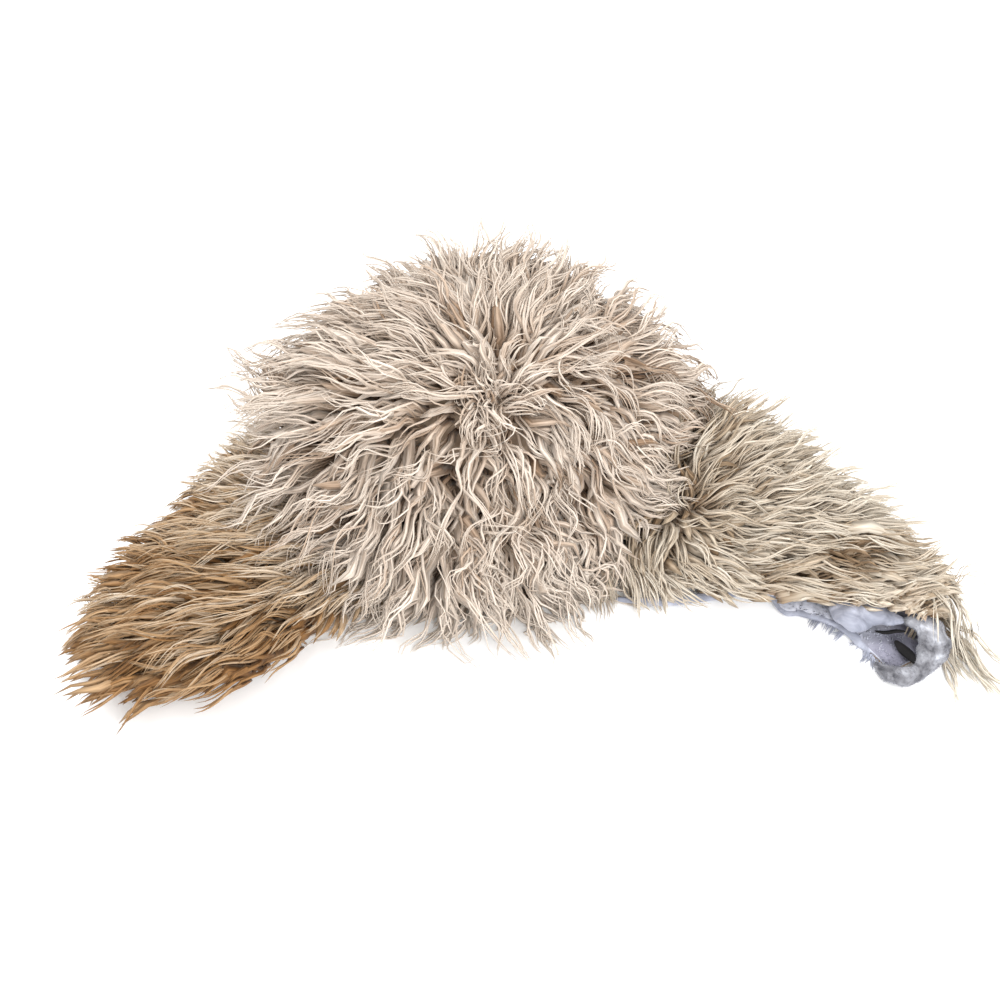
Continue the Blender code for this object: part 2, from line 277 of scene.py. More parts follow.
def pileMaterial(name, tones, tint):
    # long acrylic pile, drawn and crimped: soft satin strands whose tone changes from one lock to the next
    # and that are darker and warmer at the root, partly the fibres' own darker roots and partly painted
    # shade where the locks shade each other. The strand's own map holds its tone across and the way from
    # root to tip along it
    m = newMaterial(name, tones[2][1])
    chart = addNode(m, "ShaderNodeUVMap", {"uv_map": "OFBake"})
    apart = addNode(m, "ShaderNodeSeparateXYZ", links={0: (chart, 0)})
    tone = addNode(m, "ShaderNodeValToRGB", links={0: (apart, "X")})
    setRamp(tone, tones)
    rootTintAndShade = addNode(m, "ShaderNodeValToRGB", links={0: (apart, "Y")})
    setRamp(rootTintAndShade, ((0.0, "#B0937A"), (0.26, "#E2D4C6"), (0.58, "#F8F4F0"), (1.0, "#F2EDE7")))
    # fibres are about 0.1 mm; drawn as streaks a fifth of a lock wide, so that they show
    streakPlace = addNode(m, "ShaderNodeMapping", {"Scale": (520, 2.5, 1)}, {"Vector": (chart, 0)})
    streaks = addNode(m, "ShaderNodeTexNoise", {"Scale": 1.0, "Detail": 1.0},
                      {"Vector": (streakPlace, 0)})
    streakTone = addNode(m, "ShaderNodeValToRGB", links={0: (streaks, "Fac")})
    setRamp(streakTone, ((0.34, "#A99D92"), (0.60, "#FFFFFF")))
    shaded = addNode(m, "ShaderNodeMix", {"data_type": "RGBA", "blend_type": "MULTIPLY", 0: 1.0},
                     {6: (tone, 0), 7: (rootTintAndShade, 0)})
    streaked = addNode(m, "ShaderNodeMix", {"data_type": "RGBA", "blend_type": "MULTIPLY", 0: 0.8},
                       {6: (shaded, 2), 7: (streakTone, 0)})
    fibre = addNode(m, "ShaderNodeBsdfPrincipled", {
        "Roughness": 0.55, "IOR": 1.49, "Specular IOR Level": 0.22,
        "Sheen Weight": 0.15, "Sheen Roughness": 0.4, "Sheen Tint": linear(tint),
    }, {"Base Color": (streaked, 2)})
    addNode(m, "ShaderNodeOutputMaterial", links={0: (fibre, 0)})
    return m


def backingMaterial(name, colour, deep):
    # knitted polyester ground that the pile is caught in: dull, seen only between the locks
    m = newMaterial(name, colour)
    place = addNode(m, "ShaderNodeTexCoord")
    patches = addNode(m, "ShaderNodeTexNoise", {"Scale": 90.0, "Detail": 3.0},
                      {"Vector": (place, "Object")})  # patches about 11 mm across
    shade = addNode(m, "ShaderNodeValToRGB", links={0: (patches, "Fac")})
    setRamp(shade, ((0.3, deep), (0.7, colour)))
    stitches = addNode(m, "ShaderNodeTexNoise", {"Scale": 700.0, "Detail": 2.0},
                       {"Vector": (place, "Object")})  # stitches are about 1.4 mm apart
    relief = addNode(m, "ShaderNodeBump", {"Strength": 0.4, "Distance": 0.0006},
                     {"Height": (stitches, "Fac")})
    ground = addNode(m, "ShaderNodeBsdfPrincipled", {"Roughness": 0.85, "Specular IOR Level": 0.2},
                     {"Base Color": (shade, 0), "Normal": (relief, 0)})
    addNode(m, "ShaderNodeOutputMaterial", links={0: (ground, 0)})
    return m


def plushMaterial(name, tones, depth, paintedFoldShade=None, sheen=0.6):
    # short polyester plush, crushed: it lies light where it is stroked one way and dark where
    # it stands, with a pale sheen at the edges
    m = newMaterial(name, tones[1][1])
    place = addNode(m, "ShaderNodeTexCoord")
    strokes = addNode(m, "ShaderNodeTexNoise", {  # crushed patches about 13 mm across
        "Scale": 75.0, "Detail": 3.5, "Roughness": 0.6, "Distortion": 0.8}, {"Vector": (place, "Object")})
    shade = addNode(m, "ShaderNodeValToRGB", links={0: (strokes, "Fac")})
    setRamp(shade, tones)
    if paintedFoldShade:  # painted shade: the plush round the inside of the roll's fold is darkened where shade falls; its map tells how far round and along
        chart = addNode(m, "ShaderNodeUVMap", {"uv_map": "OFBake"})
        apart = addNode(m, "ShaderNodeSeparateXYZ", links={0: (chart, 0)})
        around = addNode(m, "ShaderNodeValToRGB", links={0: (apart, "Y")})
        setRamp(around, paintedFoldShade["around"])
        toTip = addNode(m, "ShaderNodeValToRGB", links={0: (apart, "X")})
        setRamp(toTip, paintedFoldShade["along"])
        paintedShadeMix = addNode(m, "ShaderNodeMix", {"data_type": "RGBA", "blend_type": "MULTIPLY", 0: 1.0},
                         {6: (around, 0), 7: (toTip, 0)})
        shade = addNode(m, "ShaderNodeMix", {"data_type": "RGBA", "blend_type": "MULTIPLY", 0: 1.0},
                        {6: (shade, 0), 7: (paintedShadeMix, 2)})
    nap = addNode(m, "ShaderNodeTexNoise", {"Scale": 900.0, "Detail": 2.0},
                  {"Vector": (place, "Object")})  # the nap stands in tufts about 1 mm apart
    relief = addNode(m, "ShaderNodeBump", {"Strength": depth, "Distance": 0.0008},
                     {"Height": (nap, "Fac")})
    plush = addNode(m, "ShaderNodeBsdfPrincipled", {
        "Roughness": 0.8, "Specular IOR Level": 0.25, "Sheen Weight": sheen, "Sheen Roughness": 0.35,
        "Sheen Tint": linear("#DADDEE"),
    }, {"Base Color": (shade, 2 if paintedFoldShade else 0), "Normal": (relief, 0)})
    addNode(m, "ShaderNodeOutputMaterial", links={0: (plush, 0)})
    return m


crownFur = pileMaterial("crimped acrylic pile, cream", (
    (0.0, "#80603F"), (0.25, "#C5B2A0"), (0.5, "#DBD0C5"), (0.75, "#E4DBD1"), (1.0, "#E8E0D7")), "#FFF8F0")
leftFur = pileMaterial("crimped acrylic pile, tan", (
    (0.0, "#805B33"), (0.25, "#A07A4F"), (0.5, "#BA9C78"), (0.75, "#CFBDA5"), (1.0, "#E6DCCD")), "#FFEFD8")
rightFur = pileMaterial("crimped acrylic pile, pale", (
    (0.0, "#80623F"), (0.25, "#C3B49F"), (0.5, "#DAD1C2"), (0.75, "#E3DDD1"), (1.0, "#ECE8DD")), "#FCFAF0")
crownGround = backingMaterial("knitted polyester ground", "#B5A18D", "#7C6653")
leftGround = backingMaterial("knitted polyester ground, tan", "#96714E", "#5E4632")
plushCloth = plushMaterial("crushed polyester plush", (
    (0.32, "#47474C"), (0.46, "#76767B"), (0.58, "#93949A"), (0.72, "#C6C8D0")), 0.6)
smoothPlush = plushMaterial("crushed polyester plush, stroked smooth", (
    (0.30, "#737682"), (0.46, "#8E919E"), (0.58, "#A1A4B1"), (0.74, "#C4C7D6")), 0.25)
# the right flap's lining: paler than the other plush, painted light against the shade of the fur over it,
# with painted shade round the inside of the fold and, on its inner side, towards the tip
rollPlush = plushMaterial("crushed polyester plush, rolled, painted light and shade", (
    (0.30, "#8A8C96"), (0.46, "#AEB0BA"), (0.58, "#C0C2CD"), (0.74, "#DCDEE7")), 0.5,
    {"around": ((0.0, "#FFFFFF"), (0.36, "#B8B8B8"), (0.50, "#767274"), (0.72, "#767274"),
                (0.82, "#FFFFFF")),
     "along": ((0.90, "#FFFFFF"), (0.955, "#B3B0B8"), (1.0, "#A09DA5"))})
# painted shadow: near-black plush for the rolls that stand for the shade deep in the roll and in the
# crease under the lip
paintedShadowPlush = plushMaterial("near-black plush, painted shadow deep in the roll", (
    (0.30, "#080708"), (0.46, "#0C0B0C"), (0.58, "#110F11"), (0.74, "#181618")), 0.3, sheen=0.0)


def putMesh(name, points, faces, chart, material):
    # points (n, 3) in millimetres, faces (m, 3 or 4) and chart (m, 3 or 4, 2)
    data = bpy.data.meshes.new(name)
    sides = faces.shape[1]
    data.vertices.add(len(points))
    data.loops.add(faces.size)
    data.polygons.add(len(faces))
    data.vertices.foreach_set("co", (points * mm).astype(np.float32).ravel())
    data.loops.foreach_set("vertex_index", faces.astype(np.int32).ravel())
    data.polygons.foreach_set("loop_start", np.arange(0, faces.size, sides, dtype=np.int32))
    data.polygons.foreach_set("use_smooth", np.ones(len(faces), bool))
    layer = data.uv_layers.new(name="OFBake")
    layer.uv.foreach_set("vector", chart.astype(np.float32).ravel())
    data.update(calc_edges=True)
    data.validate()
    data.materials.append(material)
    piece = bpy.data.objects.new(name, data)
    bpy.context.scene.collection.objects.link(piece)
    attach(piece, "root")
    return piece


def gridFaces(rows, columns, start=0, turned=False):
    # a quad for each step between neighbouring rows and columns
    at = start + np.arange(rows * columns).reshape(rows, columns)
    quads = np.stack([at[:-1, :-1], at[:-1, 1:], at[1:, 1:], at[1:, :-1]], -1).reshape(-1, 4)
    return quads[:, ::-1] if turned else quads


def thinned(count, every):  # each so many of count rows, and always the last
    return np.unique(np.append(np.arange(0, count, every), count - 1))


def makeWall(name, surface, every, outer, inner, material, rounded=False, bulge=0.0, seed=1):
    # a closed wall between two depths under a surface, from each so many rows and columns:
    # both sides, and strips round the edges. A rounded one closes on itself, and its pole is
    # merged. Bulge swells its inner side by two ripples
    rowsKept, columnsKept = (thinned(c, every) for c in surface["u"].shape)
    p, n, u, v = (surface[k][rowsKept][:, columnsKept] for k in ("points", "normals", "u", "v"))
    rows, columns = p.shape[:2]
    swell = bulge * (ripple(p, 9.0, seed) + 0.6 * ripple(p, 4.0, seed + 1))[..., None]
    top = p - n * outer
    under = p - n * (inner + swell)
    lowest = 0.0 if outer < layers["liningOutside"] else 0.05
    top[..., 2] = np.maximum(top[..., 2], lowest)
    under[..., 2] = np.maximum(under[..., 2], lowest)
    count = rows * columns
    facing = np.cross(top[1:, :-1] - top[:-1, :-1], top[:-1, 1:] - top[:-1, :-1])
    flip = np.mean(np.sum(facing * n[:-1, :-1], -1)) > 0
    faces = [gridFaces(rows, columns, 0, flip), gridFaces(rows, columns, count, not flip)]
    at = np.arange(count).reshape(rows, columns)
    edges = [at[-1, :]] if rounded else [at[-1, :], at[::-1, -1], at[0, ::-1], at[:, 0]]
    for edge in edges:
        strip = np.stack([edge[:-1], edge[1:], edge[1:] + count, edge[:-1] + count], -1)
        faces.append(strip[:, ::-1] if flip else strip)
    faces = np.concatenate(faces)
    flat = np.stack([u, v], -1).reshape(-1, 2)
    flat = np.concatenate([flat * (0.49, 1), flat * (0.49, 1) + (0.51, 0)])
    points = np.concatenate([top.reshape(-1, 3), under.reshape(-1, 3)])
    piece = putMesh(name, points, faces, flat[faces], material)
    mergeAndTurn(piece)
    return piece


def mergeAndTurn(piece):
    # closes the seam and the pole, and turns every face outwards
    work = bmesh.new()
    work.from_mesh(piece.data)
    bmesh.ops.remove_doubles(work, verts=work.verts, dist=0.02 * mm)
    bmesh.ops.recalc_face_normals(work, faces=work.faces)
    work.to_mesh(piece.data)
    work.free()


def scatter(surface, count, rng, density):
    # roots at random places, in proportion to each cell's area times its density
    p = surface["points"]
    areas = np.linalg.norm(np.cross(p[1:, :-1] - p[:-1, :-1], p[:-1, 1:] - p[:-1, :-1]), axis=-1)
    areas = areas * density[:-1, :-1]
    i, j = np.unravel_index(rng.choice(areas.size, count, p=areas.ravel() / areas.sum()), areas.shape)
    a, b = rng.random((2, count, 1))

    def inCell(grid):
        return ((grid[i, j] * (1 - a) + grid[i + 1, j] * a) * (1 - b)
                + (grid[i, j + 1] * (1 - a) + grid[i + 1, j + 1] * a) * b)

    return inCell(p), unit(inCell(surface["normals"])), inCell(np.stack([surface["u"], surface["v"]], -1))


gridStep, noSkin = 2, -99.0  # mm, and a height that is under everything


def heightField():
    # height of the hat's skin over a 2 mm grid of the table, for locks that lie over it
    low, size = np.array([-320.0, -220.0]), (320, 220)
    height = np.full(size, noSkin)
    for s in (crownSurface, leftSurface, rightSurface):
        p = s["points"].reshape(-1, 3)
        for nudge in ((0, 0), (1, 0), (0, 1), (1, 1)):
            ij = ((p[:, :2] - low) / gridStep + nudge).astype(int)
            np.maximum.at(height, (ij[:, 0], ij[:, 1]), p[:, 2])
    return {"low": low, "height": height}


def topAt(points):
    # the skin's height in the grid square that each point is over
    limit = np.array(skinTop["height"].shape) - 1
    ij = np.clip(((points[..., :2] - skinTop["low"]) / gridStep).astype(int), 0, limit)
    return skinTop["height"][ij[..., 0], ij[..., 1]]


skinTop = heightField()

# four coats of locks: long wisps over the pile, the pile itself, broad flat locks below, and the
# short hairs of an edge. Each is the number of locks in a tuft, steps the rings of one, tuft and
# width are in mm. Length, stray and wave are shares of the region's own, and lean and tone are
# added to it. Close is how far a tuft's locks draw together towards the tip, crossing the share of
# tufts that lie across the others, and gather how far the tips of neighbouring tufts draw together
# into one pointed clump
coats = {
    "wisps": {
        "each": 4, "steps": 12, "length": 1.16, "lean": -4, "stray": 1.4, "width": 1.3, "flat": 0.8,
        "close": 0.9, "tuft": 3.2, "tone": 0.16, "wave": 1.1, "crossing": 0.12, "gather": 0.55},
    "pile": {
        "each": 4, "steps": 10, "length": 0.92, "lean": 0, "stray": 1.0, "width": 1.9, "flat": 0.7,
        "close": 0.75, "tuft": 5.0, "tone": 0.04, "wave": 1.0, "crossing": 0.04, "gather": 0.7},
    "undercoat": {
        "each": 2, "steps": 5, "length": 0.78, "lean": 2, "stray": 1.2, "width": 5.6, "flat": 0.3,
        "close": 0.2, "tuft": 6.0, "tone": -0.11, "wave": 1.1, "crossing": 0.0, "gather": 0.1},
    "hairs": {
        "each": 6, "steps": 4, "length": 1.0, "lean": 0, "stray": 2.5, "width": 0.7, "flat": 0.8,
        "close": 0.2, "tuft": 3.0, "tone": 0.0, "wave": 1.0, "crossing": 0.0, "gather": 0.0},
}
# in mm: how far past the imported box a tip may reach, how deep a lock is planted in the ground
# cloth, how near the top skin its root is when it lies over that skin, how high over it, and how
# far clear of the table
room = {"beyond": (24, 17, 12), "planted": 0.8, "onTop": 8, "over": 1.5, "table": 0.3}


def keepInside(path):
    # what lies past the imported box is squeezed, so that it nears the room beyond but not more
    low, high = (np.array(corner[:]) / mm for corner in cadBox)
    beyond = np.array(room["beyond"], float)
    over, below = np.maximum(path - high, 0), np.maximum(low - path, 0)
    return path - over + beyond * np.tanh(over / beyond) + below - beyond * np.tanh(below / beyond)


def comb(roots, normals, region):
    # away from the parting, and down by drop for each unit outwards, in the surface, then
    # turned by slow swirls, and by quick ones as far as it is curly. Over the parting itself the
    # pile lies towards the back
    flow = roots - np.array([*region["parting"], 0.0])
    flow[:, 2] = 0
    far = np.linalg.norm(flow, axis=1, keepdims=True)
    flow = flow / (far + 5) + np.exp(-(far / 12) ** 2) * np.array([-0.2, 0.5, 0])
    flow = unit(flow) - np.array([0, 0, region["drop"]])
    flow = unit(flow - normals * dot(flow, normals))
    seed = region["seed"]
    turn = region["swirl"] * (ripple(roots, 85.0, seed) + 0.6 * ripple(roots, 38.0, seed + 1))
    knots = region["tangle"] * (region["curl"](roots, normals, None) - 1)
    turn = np.radians(turn + knots * ripple(roots, 24.0, seed + 4))[:, None]
    return flow * np.cos(turn) + np.cross(normals, flow) * np.sin(turn)


def lockPaths(root, normal, flow, facts, s, weight):
    # where a lock is at each step: the sum of steps that lean over from the normal towards
    # its flow and sag by weight, plus sine waves sideways and up and down that grow from the root
    side = np.cross(normal, flow)
    lean = np.radians(facts["lean0"] + (facts["lean1"] - facts["lean0"]) * s)[..., None]
    way = normal[:, None] * np.cos(lean) + flow[:, None] * np.sin(lean)
    way = unit(way - np.array([0, 0, 1.0]) * (weight * s**1.5)[None, :, None])
    step = way[:, :-1] * (facts["length"] / (len(s) - 1))[..., None]
    path = root[:, None] + np.concatenate([np.zeros_like(step[:, :1]), np.cumsum(step, 1)], 1)
    arc = s[None] * facts["length"] / facts["wave"] * 2 * np.pi
    grow = smooth(s / 0.45)[None]
    swing = (facts["swing"] * grow * np.sin(arc + facts["phase"]))[..., None]
    bob = (facts["bob"] * grow * np.sin(arc * 0.9 + facts["bobPhase"]))[..., None]
    return path + swing * side[:, None] + bob * np.cross(way, side[:, None])


def growPile(name, region, coatName, tufts, seed, where=1.0):
    # each tuft has a guide; its locks start round it and close on it towards the tip. Its size
    # and tone follow its place on the hat, with a spread from tuft to tuft and lock to lock
    coat, surface, rng = coats[coatName], region["surface"], np.random.default_rng(seed)
    each, steps = coat["each"], coat["steps"]
    roots, normals, place = scatter(surface, tufts, rng, region["open"] * where)
    flow = region["turned"](comb(roots, normals, region), roots, normals, place)
    far = np.linalg.norm(roots[:, :2] - np.array(region["parting"]), axis=1)
    # over the parting the tufts stand up and fall any way
    whorl = np.exp(-(far / 16) ** 2)[:, None]
    stray = rng.normal(0, region["stray"] * coat["stray"], (tufts, 1)) * (1 + 2 * whorl)
    stray = np.radians(stray * np.where(rng.random((tufts, 1)) < coat["crossing"], 3.2, 1.0))
    flow = flow * np.cos(stray) + np.cross(normals, flow) * np.sin(stray)
    wild = region["curl"](roots, normals, place)[:, None]
    # tufts stand up and lie down in groups, with hollows of short ones between them that get a painted
    # shade below
    ridge = ripple(roots, 26.0, region["seed"] + 3)[:, None]
    size = region["sizes"](roots, normals, place)[:, None] * (1 + 0.14 * ridge)
    lean = region["lean"]
    # neighbours wave together: the phase follows the way from the parting
    phase = 2 * np.pi * (far - 0.7 * roots[:, 2]) / region["wave"]
    phase = (phase + 2.5 * ripple(roots, 50.0, region["seed"] + 2))[:, None]
    facts = {
        "length": region["length"] * coat["length"] * size * rng.uniform(0.8, 1.15, (tufts, 1)),
        "wave": (region["wave"] * coat["wave"] * rng.uniform(0.88, 1.15, (tufts, 1))
                 / (0.72 + 0.28 * wild)),
        "swing": region["swing"] * rng.uniform(0.5, 1.4, (tufts, 1)) * wild,
        "bob": region["bob"] * rng.uniform(0.5, 1.4, (tufts, 1)) * wild,
        "phase": phase + rng.normal(0, 0.9, (tufts, 1)),
        "bobPhase": phase + rng.normal(1.5, 0.9, (tufts, 1)),
        "lean0": (lean[0] + coat["lean"] + 34 * (1 - size) - 12 * whorl + 8 * ridge
                  + rng.normal(0, 6, (tufts, 1))),
        "lean1": lean[1] + coat["lean"] - 16 * whorl + 14 * ridge + rng.normal(0, 8, (tufts, 1)),
    }
    s = np.linspace(0, 1, steps + 1)
    guide = lockPaths(roots, normals, flow, facts, s, region["weight"])
    leaders = max(tufts // 5, 1)  # every tuft draws towards the nearest of these, most at its tip
    nearest = np.linalg.norm(roots[:, None] - roots[None, :leaders], axis=-1).argmin(1)
    guide = guide + (guide[nearest] - guide) * (coat["gather"] * s**1.5)[None, :, None]

    n = tufts * each
    many = {k: np.repeat(v, each, 0) for k, v in facts.items()}
    many["length"] = many["length"] * rng.uniform(0.7, 1.06, (n, 1))
    many["phase"] = many["phase"] + rng.normal(0, 0.5, (n, 1))
    many["bobPhase"] = many["bobPhase"] + rng.normal(0, 0.6, (n, 1))
    many["swing"] = many["swing"] * rng.uniform(0.7, 1.3, (n, 1))
    many["lean0"] = many["lean0"] + rng.normal(0, 5, (n, 1))
    many["lean1"] = many["lean1"] + rng.normal(0, 7, (n, 1))
    normal, away = np.repeat(normals, each, 0), np.repeat(flow, each, 0)
    spread, bearing = np.sqrt(rng.random((n, 1))) * coat["tuft"], rng.uniform(0, 2 * np.pi, (n, 1))
    root = np.repeat(roots, each, 0) - normal * room["planted"]
    root = root + spread * (away * np.cos(bearing) + np.cross(normal, away) * np.sin(bearing))
    path = lockPaths(root, normal, away, many, s, region["weight"])
    closing = (coat["close"] * s**1.3)[None, :, None] * rng.uniform(0.5, 1.0, (n, 1, 1))
    path = path + (np.repeat(guide, each, 0) - path) * closing

    width = coat["width"] * np.exp(rng.normal(0, 0.28, (n, 1))) / 2
    radius = width * np.interp(s, (0, 0.2, 0.55, 0.85, 1), (0.7, 1, 0.92, 0.5, 0.06))[None]
    # locks rooted on top of the hat lie over the skin that they cross, and all over the table
    onTop = (topAt(root) - root[:, 2] < room["onTop"])[:, None]
    cover = np.where(onTop & (s[None] > 0.3), topAt(path), noSkin) + room["over"]
    path[..., 2] = np.maximum(path[..., 2], np.maximum(cover, radius + room["table"]))
    path = keepInside(path)
    tone = region["tone"] + coat["tone"] + region["toned"](roots, normals, place)
    # painted shade: tufts in the hollows between the groups are darker, and those on top of them paler
    tone = tone + 0.13 * ridge[:, 0]
    tone = np.repeat(tone + rng.normal(0, region["toneTuft"], tufts), each)
    tone = tone + rng.normal(0, region["toneLock"], n)
    return putLocks(name, path, radius, coat["flat"], np.cross(away, normal), tone, region)


def putLocks(name, path, radius, flat, side, tone, region):
    # a three-sided tube round each path, flattened, closed at the root and at the tip.
    # Its map holds the tone across and the way to the tip along
    n, rings = path.shape[:2]
    along = unit(np.gradient(path, axis=1))
    first = unit(np.cross(along, np.repeat(side[:, None], rings, 1)))
    second = np.cross(along, first)
    turns = 2 * np.pi * np.arange(3) / 3
    tube = [path + (first * np.cos(a) * flat + second * np.sin(a)) * radius[..., None] for a in turns]
    at = np.arange(n * rings * 3).reshape(n, rings, 3)
    nextSide = np.roll(at, -1, 2)
    quads = np.stack([at[:, :-1], nextSide[:, :-1], nextSide[:, 1:], at[:, 1:]], -1).reshape(-1, 4)
    step = 0.008  # of the map for each side
    tone = np.clip(tone, 0.08, 0.97)
    s = np.linspace(0, 1, rings)
    left = np.broadcast_to(tone[:, None, None] + (np.arange(3) - 1.5) * step, (n, rings - 1, 3))
    low, high = (np.broadcast_to(v[None, :, None], left.shape) for v in (s[:-1], s[1:]))
    corners = [(left, low), (left + step, low), (left + step, high), (left, high)]
    chart = np.stack([np.stack(c, -1) for c in corners], -2).reshape(-1, 4, 2)
    capSpot = np.array([[-step, 0.0], [step, 0.0], [0.0, 0.004]]) + tone[:, None, None] * (1, 0)
    halves = ([0, 1, 2], [0, 2, 3])
    faces = np.concatenate([*(quads[:, h] for h in halves), at[:, 0, ::-1], at[:, -1]])
    charts = np.concatenate([*(chart[:, h] for h in halves), capSpot, capSpot * (1, -1) + (0, 1)])
    piece = putMesh(name, np.stack(tube, 2).reshape(-1, 3), faces, charts, region["material"])
    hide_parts(region["node"])
    print(name, n, "locks,", len(faces), "triangles")
    return piece


def makeNap(name, surface, depth, nap, where, material):
    # short plush tufts: little leaning pyramids on the inner face of a lining, their feet a
    # third of a turn apart and sunk 0.4 mm into it
    rng = np.random.default_rng(nap["seed"])
    roots, normals, place = scatter(surface, nap["count"], rng, where)
    inward = -normals
    lean = rng.normal(size=roots.shape)
    lean = unit(lean - inward * dot(lean, inward))
    size = nap["width"] * rng.uniform(0.7, 1.3, (len(roots), 1))
    across = np.cross(inward, lean)
    roots = roots + inward * (depth - 0.4)
    tip = roots + (inward * rng.uniform(0.6, 1.2, (len(roots), 1)) + lean * 0.8) * nap["length"]
    feet = [roots + (lean * np.cos(a) + across * np.sin(a)) * size for a in (0, 2.09, 4.19)]
    points = np.stack([*feet, tip], 1)
    points[..., 2] = np.maximum(points[..., 2], 0.1)
    at = np.arange(len(roots))[:, None] * 4
    faces = np.concatenate([at + np.array(f) for f in ((0, 1, 3), (1, 2, 3), (2, 0, 3), (2, 1, 0))])
    spot = np.concatenate([place] * 4)[:, None] + np.array([[0, 0], [0.002, 0], [0, 0.002]])
    piece = putMesh(name, points.reshape(-1, 3), faces, spot, material)
    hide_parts("right_flap_lining")
    return piece


def makeRoll(name, facts, material, seed, node):
    # a soft roll: an ellipse carried along a smooth path and dented by ripple, whose size
    # falls to nothing at both ends as the square root of 1 - (2s - 1) to the power 8
    s, a = np.meshgrid(np.linspace(0, 1, 61), np.linspace(0, 2 * np.pi, 25), indexing="ij")
    path = np.stack([betweenRows(facts[k], s[:, 0]) for k in ("x", "y", "z")], -1)
    along = unit(np.gradient(path, axis=0))
    side = unit(np.cross(along, np.array([0, 0, 1.0])))[:, None]
    up = np.cross(side, along[:, None])
    size = betweenRows(facts["radius"], s) * np.sqrt(1 - np.minimum(1, np.abs(2 * s - 1)) ** 8)
    out = side * np.cos(a)[..., None] + up * np.sin(a)[..., None] * facts["flat"]
    size = size * (1 + 0.14 * ripple(path[:, None] + out * 6, 11.0, seed))
    points = path[:, None] + out * size[..., None]
    points[..., 2] = np.maximum(points[..., 2], 0.2)
    faces = gridFaces(*s.shape)
    chart = np.stack([s, a / (2 * np.pi)], -1).reshape(-1, 2)
    piece = putMesh(name, points.reshape(-1, 3), faces, chart[faces], material)
    mergeAndTurn(piece)
    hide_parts(node)
    return {"points": points, "normals": -unit(out), "u": s, "v": a / (2 * np.pi)}


def asSheet(node):
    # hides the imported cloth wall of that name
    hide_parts(node)


def asCombed(flow, roots, normals, place):  # nothing turned
    return flow


def evenly(roots, normals, place):  # 1 everywhere
    return 1 + 0 * roots[:, 0]


def frontness(roots):
    # 1 on the front face of the crown, low down, and 0 on its top, sides and back
    angle = np.degrees(np.arctan2(roots[:, 1] - crown["centre"][1], roots[:, 0] - crown["centre"][0]))
    return np.exp(-(turnTo(angle, -85) / 55) ** 2) * smooth((crown["height"] - 4 - roots[:, 2]) / 40)


def crownTone(roots, normals, place):
    # two soft ripples; paler in the fringe, painted light against the shade under the crown's overhang,
    # and brown in the valley over the right flap, painted shade
    low = smooth((72 - roots[:, 2]) / 40) * frontness(roots)
    valleyShade = np.exp(-(turnTo(place[:, 1] * 360, 5) / 26) ** 2) * smooth((place[:, 0] - 0.5) / 0.3)
    tone = 0.15 * ripple(roots, 60.0, 3) + 0.08 * ripple(roots, 25.0, 13) - 0.05 * frontness(roots)
    return tone + 0.36 * low - 0.46 * valleyShade


# length of the pile round the crown: longer over the flaps, shorter at the back
crownReach = {
    "angle": (0, 20, 40, 60, 80, 110, 140, 165, 185, 215, 240, 257, 275, 300, 330),
    "share": (1.08, 1.22, 0.64, 0.42, 0.56, 0.40, 0.60, 0.82, 1.20, 1.30, 1.30, 1.2, 1.0, 0.86, 0.84),
}


def crownSizes(roots, normals, place):
    # the reach round the crown, fading out at the top, longer in the fringe and shorter over it
    share = np.interp(place[:, 1] * 360, crownReach["angle"], crownReach["share"], period=360)
    share = 1 + (share - 1) * smooth((place[:, 0] - 0.08) / 0.3)
    front = frontness(roots) * (0.22 - 0.36 * smooth((0.72 - place[:, 0]) / 0.2))
    return share + front + 0.12 * ripple(roots, 45.0, 8)


# a coat's pile: open is how thickly it grows, parting is where it is combed away from, lean is in
# degrees from upright at the root and at the tip, and wave, swing and bob are its crimp
crownPile = {
    "surface": crownSurface, "open": 1 + 1.6 * smooth(1 - crownSurface["u"] / 0.35),
    "material": crownFur, "node": "crown_fur", "tangle": 56,
    "seed": 11, "parting": (-25, -12), "drop": 0.6, "swirl": 36, "turned": asCombed,
    "length": 54, "lean": (28, 86), "weight": 0.5, "stray": 13,
    "wave": 37, "swing": 2.9, "bob": 2.1,
    "curl": lambda roots, normals, place: 1 + 0.8 * frontness(roots) * smooth((roots[:, 2] - 12) / 30),
    "sizes": crownSizes,
    "tone": 0.55, "toneTuft": 0.10, "toneLock": 0.12, "toned": crownTone,
}
leftHalf = (np.abs(turnTo(crownSurface["v"] * 360, 180)) < 90) * 1.0
# curly tufts that stand up in the middle of the whorl and fall all ways
fromWhorl = np.linalg.norm(crownSurface["points"][..., :2] - np.array(crownPile["parting"]), axis=-1)
whorlOpen = (np.exp(-(fromWhorl / 11) ** 2) + 1e-6) / crownPile["open"]
# the front is a soft tangle with fewer wisps over it
frontThinned = 1 - 0.4 * frontness(crownSurface["points"].reshape(-1, 3)).reshape(fromWhorl.shape)
whorlPile = dict(crownPile, stray=34, lean=(6, 78), length=40, swing=3.4)
crownBacking = makeWall("crownBacking", crownSurface, 4, 0.0, layers["backing"], crownGround,
                        rounded=True)
crownPieces = [
    growPile("crownWisps", crownPile, "wisps", 600, 101, frontThinned),
    growPile("crownPileLeft", crownPile, "pile", 480, 102, leftHalf),
    growPile("crownPileRight", crownPile, "pile", 480, 103, 1 - leftHalf),
    growPile("crownUndercoat", crownPile, "undercoat", 950, 104),
    growPile("crownWhorl", whorlPile, "pile", 46, 105, whorlOpen),
]
crownLining = makeWall("crownLining", crownSurface, 4, layers["liningOutside"], layers["liningInside"],
                       plushCloth, rounded=True, bulge=0.5, seed=5)
print("crown done")


def leftTurned(flow, roots, normals, place):
    # beyond the root the pile is combed to the side, less so along the front edge
    side = smooth((place[:, 0] - 0.1) / 0.3) * (0.45 + 0.75 * smooth(place[:, 1] / 0.4))
    flow = flow + side[:, None] * np.array([-1, -0.08, 0])
    return keepOnFlap(flow, roots, normals, place, leftSurface, 0.3)


